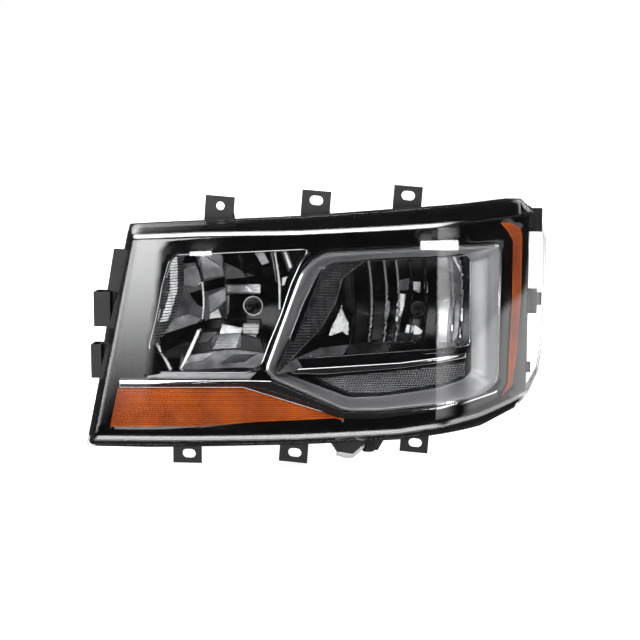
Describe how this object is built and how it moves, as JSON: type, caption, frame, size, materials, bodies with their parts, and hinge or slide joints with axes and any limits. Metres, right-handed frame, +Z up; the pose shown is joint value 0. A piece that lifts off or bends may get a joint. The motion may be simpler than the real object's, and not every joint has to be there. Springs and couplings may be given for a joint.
{
  "type": "truck headlamp unit",
  "caption": "Wrap-round truck headlamp with high and low beam reflectors, amber turn strip, side marker, aiming gear and mounting tabs.",
  "frame": {"origin": "centre of the round locating hole, halfway through its tab", "axes": "+X to the outboard end that wraps round the cab corner, +Y to the back of the lamp, +Z up"},
  "size_m": [0.6026, 0.2786, 0.3698],
  "materials": {
    "bezel": "high gloss",
    "bottom_slot_tabs": "moulded, light grain",
    "breathers": "matte",
    "connector_pins": "tinned brass",
    "connector_receptacle": "moulded, light grain",
    "day_bulb": "hard glass",
    "day_bulb_holder": "moulded",
    "day_bulb_seal": "matte",
    "day_lens": "fine optic texture",
    "day_reflector": "vacuum metallised",
    "day_strip": "vacuum metallised",
    "high_beam_reflector": "vacuum metallised",
    "high_beam_surround": "vacuum metallised",
    "high_bulb_base": "zinc plated",
    "high_bulb_clip": "zinc plated",
    "high_bulb_glass": "hard glass",
    "high_bulb_plug": "moulded",
    "high_cap_seal": "matte",
    "high_dust_cap": "moulded, light grain",
    "housing": "moulded, light grain",
    "inner_harness": "taped bundle",
    "lens_seal": "matte",
    "levelling_knob": "high gloss",
    "levelling_motor": "moulded, light grain",
    "levelling_rod": "zinc plated",
    "locator_tab": "moulded, light grain",
    "low_beam_frame": "satin metallised",
    "low_beam_reflector": "vacuum metallised",
    "low_beam_shroud": "high gloss",
    "low_bulb_base": "zinc plated",
    "low_bulb_clip": "zinc plated",
    "low_bulb_glass": "hard glass",
    "low_bulb_plug": "moulded",
    "low_cap_seal": "matte",
    "low_dust_cap": "moulded, light grain",
    "lower_boss": "moulded, light grain",
    "lower_peg": "moulded, light grain",
    "motor_screws": "zinc plated",
    "outboard_clips": "moulded",
    "outer_lens": "clear hard-coated polycarbonate",
    "pivot_block": "moulded",
    "reflector_carrier": "moulded",
    "side_adjuster_body": "moulded",
    "side_adjuster_knob": "high gloss",
    "side_adjuster_rod": "zinc plated",
    "side_guide_bracket": "moulded, light grain",
    "side_marker_lens": "amber moulded optics",
    "top_slot_tabs": "moulded, light grain",
    "turn_bulb": "amber dipped glass",
    "turn_bulb_holder": "moulded",
    "turn_bulb_seal": "matte",
    "turn_lens": "amber moulded optics",
    "turn_reflector": "vacuum metallised",
    "vent_strap": "natural moulded plastic",
    "waist_strip": "vacuum metallised",
    "yaw_pins": "zinc plated"
  },
  "bodies": {
    "lamp": {"bezel": "bezel", "bottom_slot_tabs": "bottom_slot_tabs", "breathers": "breathers", "connector_pins": "connector_pins", "connector_receptacle": "connector_receptacle", "day_lens": "day_lens", "day_reflector": "day_reflector", "day_strip": "day_strip", "high_beam_surround": "high_beam_surround", "housing": "housing", "inner_harness": "inner_harness", "lens_seal": "lens_seal", "levelling_motor": "levelling_motor", "locator_tab": "locator_tab", "low_beam_frame": "low_beam_frame", "low_beam_shroud": "low_beam_shroud", "lower_boss": "lower_boss", "lower_peg": "lower_peg", "motor_screws": "motor_screws", "outboard_clips": "outboard_clips", "outer_lens": "outer_lens", "side_adjuster_body": "side_adjuster_body", "side_guide_bracket": "side_guide_bracket", "side_marker_lens": "side_marker_lens", "top_slot_tabs": "top_slot_tabs", "turn_lens": "turn_lens", "turn_reflector": "turn_reflector", "vent_strap": "vent_strap", "waist_strip": "waist_strip", "yaw_pins": "yaw_pins"},
    "pivot": {"pivot_block": "pivot_block"},
    "reflectors": {"reflector_carrier": "reflector_carrier", "high_beam_reflector": "high_beam_reflector", "low_beam_reflector": "low_beam_reflector", "high_bulb_glass": "high_bulb_glass", "high_bulb_base": "high_bulb_base", "high_bulb_plug": "high_bulb_plug", "low_bulb_glass": "low_bulb_glass", "low_bulb_base": "low_bulb_base", "low_bulb_plug": "low_bulb_plug"},
    "side_rod": {"side_adjuster_rod": "side_adjuster_rod"},
    "side_knob": {"side_adjuster_knob": "side_adjuster_knob"},
    "level_rod": {"levelling_rod": "levelling_rod"},
    "level_knob": {"levelling_knob": "levelling_knob"},
    "high_clip": {"high_bulb_clip": "high_bulb_clip"},
    "low_clip": {"low_bulb_clip": "low_bulb_clip"},
    "high_cap": {"high_dust_cap": "high_dust_cap", "high_cap_seal": "high_cap_seal"},
    "low_cap": {"low_dust_cap": "low_dust_cap", "low_cap_seal": "low_cap_seal"},
    "turn_socket": {"turn_bulb_holder": "turn_bulb_holder", "turn_bulb_seal": "turn_bulb_seal", "turn_bulb": "turn_bulb"},
    "day_socket": {"day_bulb_holder": "day_bulb_holder", "day_bulb_seal": "day_bulb_seal", "day_bulb": "day_bulb"}
  },
  "joints": [
    {"name": "side_aim", "type": "hinge", "parent": "lamp", "child": "pivot", "pos_m": [0.1268, 0.074, -0.1362], "axis": [0, 0, 1], "range_deg": [-1.5, 1.5]},
    {"name": "height_aim", "type": "hinge", "parent": "pivot", "child": "reflectors", "pos_m": [0.1268, 0.074, -0.1362], "axis": [1, 0, 0], "range_deg": [-1.5, 2]},
    {"name": "side_rod_slide", "type": "slide", "parent": "lamp", "child": "side_rod", "axis": [0, 1, 0], "range_m": [-0.0052, 0.0052]},
    {"name": "side_knob_turn", "type": "hinge", "parent": "lamp", "child": "side_knob", "pos_m": [-0.0632, 0.128, -0.1362], "axis": [0, 1, 0], "range_deg": [-360, 360]},
    {"name": "level_rod_slide", "type": "slide", "parent": "lamp", "child": "level_rod", "axis": [0, 1, 0], "range_m": [-0.0024, 0.003]},
    {"name": "level_knob_turn", "type": "hinge", "parent": "lamp", "child": "level_knob", "pos_m": [0.1268, 0.16, -0.2162], "axis": [0, 1, 0], "range_deg": [-155, 205]},
    {"name": "high_clip_swing", "type": "hinge", "parent": "reflectors", "child": "high_clip", "pos_m": [0.0146, 0.03955, -0.1358], "axis": [0, 0, 1], "range_deg": [0, 70]},
    {"name": "low_clip_swing", "type": "hinge", "parent": "reflectors", "child": "low_clip", "pos_m": [0.2324, 0.08655, -0.1443], "axis": [0, 0, 1], "range_deg": [0, 70]},
    {"name": "high_cap_twist", "type": "hinge", "parent": "lamp", "child": "high_cap", "pos_m": [0.0386, 0.124, -0.1358], "axis": [0, 1, 0], "range_deg": [0, 30]},
    {"name": "low_cap_twist", "type": "hinge", "parent": "lamp", "child": "low_cap", "pos_m": [0.2564, 0.176, -0.1443], "axis": [0, 1, 0], "range_deg": [0, 30]},
    {"name": "turn_socket_twist", "type": "hinge", "parent": "lamp", "child": "turn_socket", "pos_m": [0.0168, 0.041, -0.2552], "axis": [0, 1, 0], "range_deg": [0, 45]},
    {"name": "day_socket_twist", "type": "hinge", "parent": "lamp", "child": "day_socket", "pos_m": [0.2308, 0.066, -0.2337], "axis": [0, 1, 0], "range_deg": [0, 45]}
  ],
  "couplings": [
    {"joint": "side_rod_slide", "follows": "side_aim", "m_per_rad": -0.19},
    {"joint": "side_knob_turn", "follows": "side_aim", "ratio": -238.76},
    {"joint": "level_rod_slide", "follows": "height_aim", "m_per_rad": 0.08},
    {"joint": "level_knob_turn", "follows": "height_aim", "ratio": 100.53}
  ]
}
